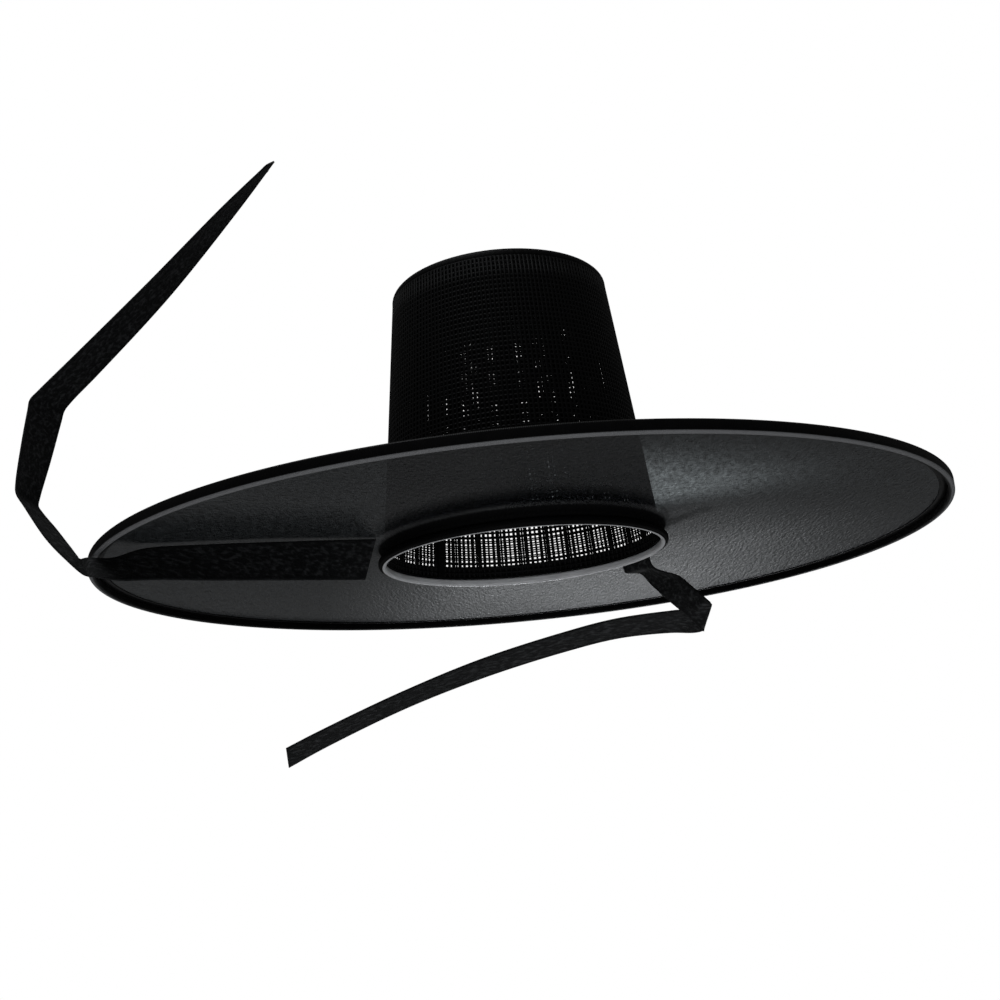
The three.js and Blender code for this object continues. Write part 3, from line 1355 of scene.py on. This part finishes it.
@dataclass
class Studio:
    """The floor, the soft lights and the camera at the photograph's angle.

    The camera stands `below` degrees under the brim's plane, and its picture is rolled.
    """

    floor_height: float = -1.0
    floor_inner: float = 0.02
    floor_radius: float = 4.0
    floor_segments: int = 128
    ambient_low: float = 0.008
    ambient_high: float = 0.14
    ambient_top: float = 0.7
    distance: float = 746.6 * MM
    below: float = 11.42
    roll: float = 5.56
    lens: float = 44.255
    sensor: float = 36.0
    shift: Span = (-0.0241, 0.0577)
    clip: Span = (0.01, 100.0)
    lights: tuple[Lamp, ...] = (
        Lamp("far_left", (0.0, 0.78, -0.55), (-0.005, 0.25, 0), 0.1, 7.2, cone=18, blend=0.45),
        Lamp("far_right", (0.14, 0.78, -0.55), (0.15, 0.225, 0), 0.1, 7.2, cone=22, blend=0.8),
        Lamp("front_low", (0.1, -1.2, -0.6), (0, 0, 0), 0.7, 2.0),
        Lamp("near_wash", (0, -2.0, -0.25), (0, -2.0, -1.0), 3.0, 14.0),
        Lamp("far_wash", (0, 2.6, -0.25), (0, 2.6, -1.0), 3.0, 1.6),
        Lamp("overhead", (-0.5, -0.6, 1.8), (0, 0, 0.05), 1.2, 9.0),
    )

    def floor(self) -> None:
        """Lays the floor."""
        radius = np.array([[self.floor_inner], [self.floor_radius]])
        height = np.full((2, self.floor_segments), self.floor_height)
        points = about_axis(radius, angles(self.floor_segments), height)
        faces = grid_faces(2, self.floor_segments, False, True)
        floor = new_object("floor", points.reshape(-1, 3), faces)
        floor.data.materials.append(PaleFloor().make())

    def world(self) -> None:
        """Makes a white backdrop, with ambient light that is dim below and soft above."""
        world = bpy.context.scene.world = bpy.data.worlds.new("studio")
        g = Graph(world, "Generated")
        ambient = g.line(g.rise(g.z, 0.0, self.ambient_top), self.ambient_high - self.ambient_low,
                         self.ambient_low)
        white = (1, 1, 1, 1)
        lit = g.node("ShaderNodeBackground", Color=white, Strength=ambient).outputs[0]
        seen = g.node("ShaderNodeBackground", Color=white).outputs[0]
        camera_ray = g.node("ShaderNodeLightPath").outputs["Is Camera Ray"]
        g.node("ShaderNodeOutputWorld", Surface=g.blend(camera_ray, lit, seen))

    def camera(self) -> None:
        """Sets the camera where the photograph was taken."""
        e, roll = math.radians(self.below), math.radians(self.roll)
        back = Vector((0, -math.cos(e), -math.sin(e)))
        up = Vector((0, -math.sin(e), math.cos(e)))
        side = Vector((1, 0, 0))
        right = side * math.cos(roll) - up * math.sin(roll)
        top = side * math.sin(roll) + up * math.cos(roll)
        data = bpy.data.cameras.new("photo_camera")
        data.lens = self.lens
        data.sensor_width = self.sensor
        data.shift_x, data.shift_y = self.shift
        data.clip_start, data.clip_end = self.clip
        camera = bpy.data.objects.new("photo_camera", data)
        turn = Matrix((right, top, back)).transposed()
        camera.matrix_world = Matrix.Translation(back * self.distance) @ turn.to_4x4()
        bpy.context.scene.collection.objects.link(camera)
        bpy.context.scene.camera = camera

    def build(self) -> None:
        """Sets up the whole studio."""
        self.floor()
        self.world()
        for lamp in self.lights:
            lamp.hang()
        self.camera()
        bpy.context.scene.view_settings.view_transform = "Standard"


def main() -> None:
    """Builds the gat and its studio."""
    logging.basicConfig(level=logging.INFO, format="%(name)s: %(message)s")
    ring = HeadRing()
    crown = Crown(ring)
    brim = Brim(crown)
    ring.build()
    crown.build()
    brim.build()
    Ties(brim).build()
    Studio().build()


if __name__ == "__main__":
    main()
